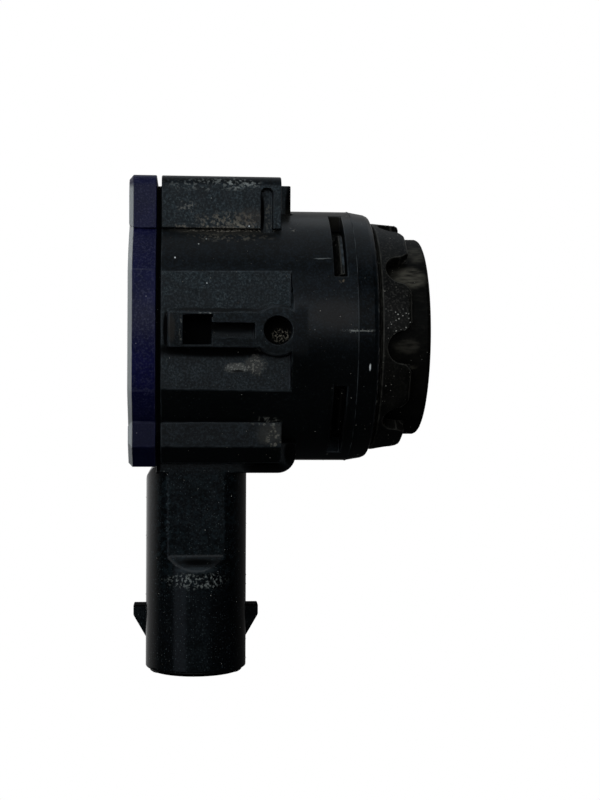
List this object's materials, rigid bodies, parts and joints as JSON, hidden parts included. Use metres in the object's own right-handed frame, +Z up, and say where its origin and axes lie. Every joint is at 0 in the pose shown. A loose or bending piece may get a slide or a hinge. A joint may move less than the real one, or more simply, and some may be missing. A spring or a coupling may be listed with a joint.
{
  "type": "parking sensor",
  "caption": "Ultrasonic bumper parking sensor: short barrel with a silicone nose in a scalloped ring, a rear body with rails and side latches, and a plug socket below.",
  "frame": {"origin": "on the barrel's axis, in the plane of the front ends of the upper and lower rails, where the bracket stops the sensor", "axes": "+X along the barrel toward the nose, +Z up, away from the plug socket, which opens toward -Z"},
  "size_m": [0.0266, 0.0232, 0.0446],
  "materials": {
    "housing_plastic": "glass-filled polyester, fine spark-eroded texture",
    "cover_plastic": "laser-transparent dark violet polyester",
    "ring_plastic": "matt moulded polyamide",
    "silicone": "matt silicone rubber",
    "pot_aluminium": "aluminium with black paint on the membrane",
    "ceramic": "silvered ceramic",
    "foam": "open-cell silicone foam",
    "carrier_plastic": "natural moulding",
    "contact_metal": "tinned brass",
    "lead_copper": "enamelled copper wire",
    "board": "glass-epoxy board with solder resist",
    "chip_epoxy": "moulded epoxy",
    "ferrite": "sintered ferrite",
    "bobbin_plastic": "natural moulding",
    "winding_copper": "enamelled copper wire",
    "capacitor_case": "moulded case",
    "capacitor_ceramic": "fired ceramic",
    "resistor_body": "glazed ceramic",
    "diode_body": "moulded epoxy",
    "terminal_metal": "tinned bronze"
  },
  "bodies": {
    "root": {"housing": "housing_plastic", "rear_cover": "cover_plastic", "retaining_ring": "ring_plastic", "decoupling_ring": "silicone", "membrane_pot": "pot_aluminium", "piezo_disc": "ceramic", "damping_foam": "foam", "contact_carrier": "carrier_plastic", "transducer_contacts": "contact_metal", "piezo_leads": "lead_copper", "circuit_board": "board", "signal_chip": "chip_epoxy", "transformer_core": "ferrite", "transformer_bobbin": "bobbin_plastic", "transformer_winding": "winding_copper", "storage_capacitor": "capacitor_case", "chip_capacitors": "capacitor_ceramic", "chip_resistors": "resistor_body", "protection_diode": "diode_body", "terminal_supply": "terminal_metal", "terminal_signal": "terminal_metal", "terminal_ground": "terminal_metal"}
  },
  "joints": []
}
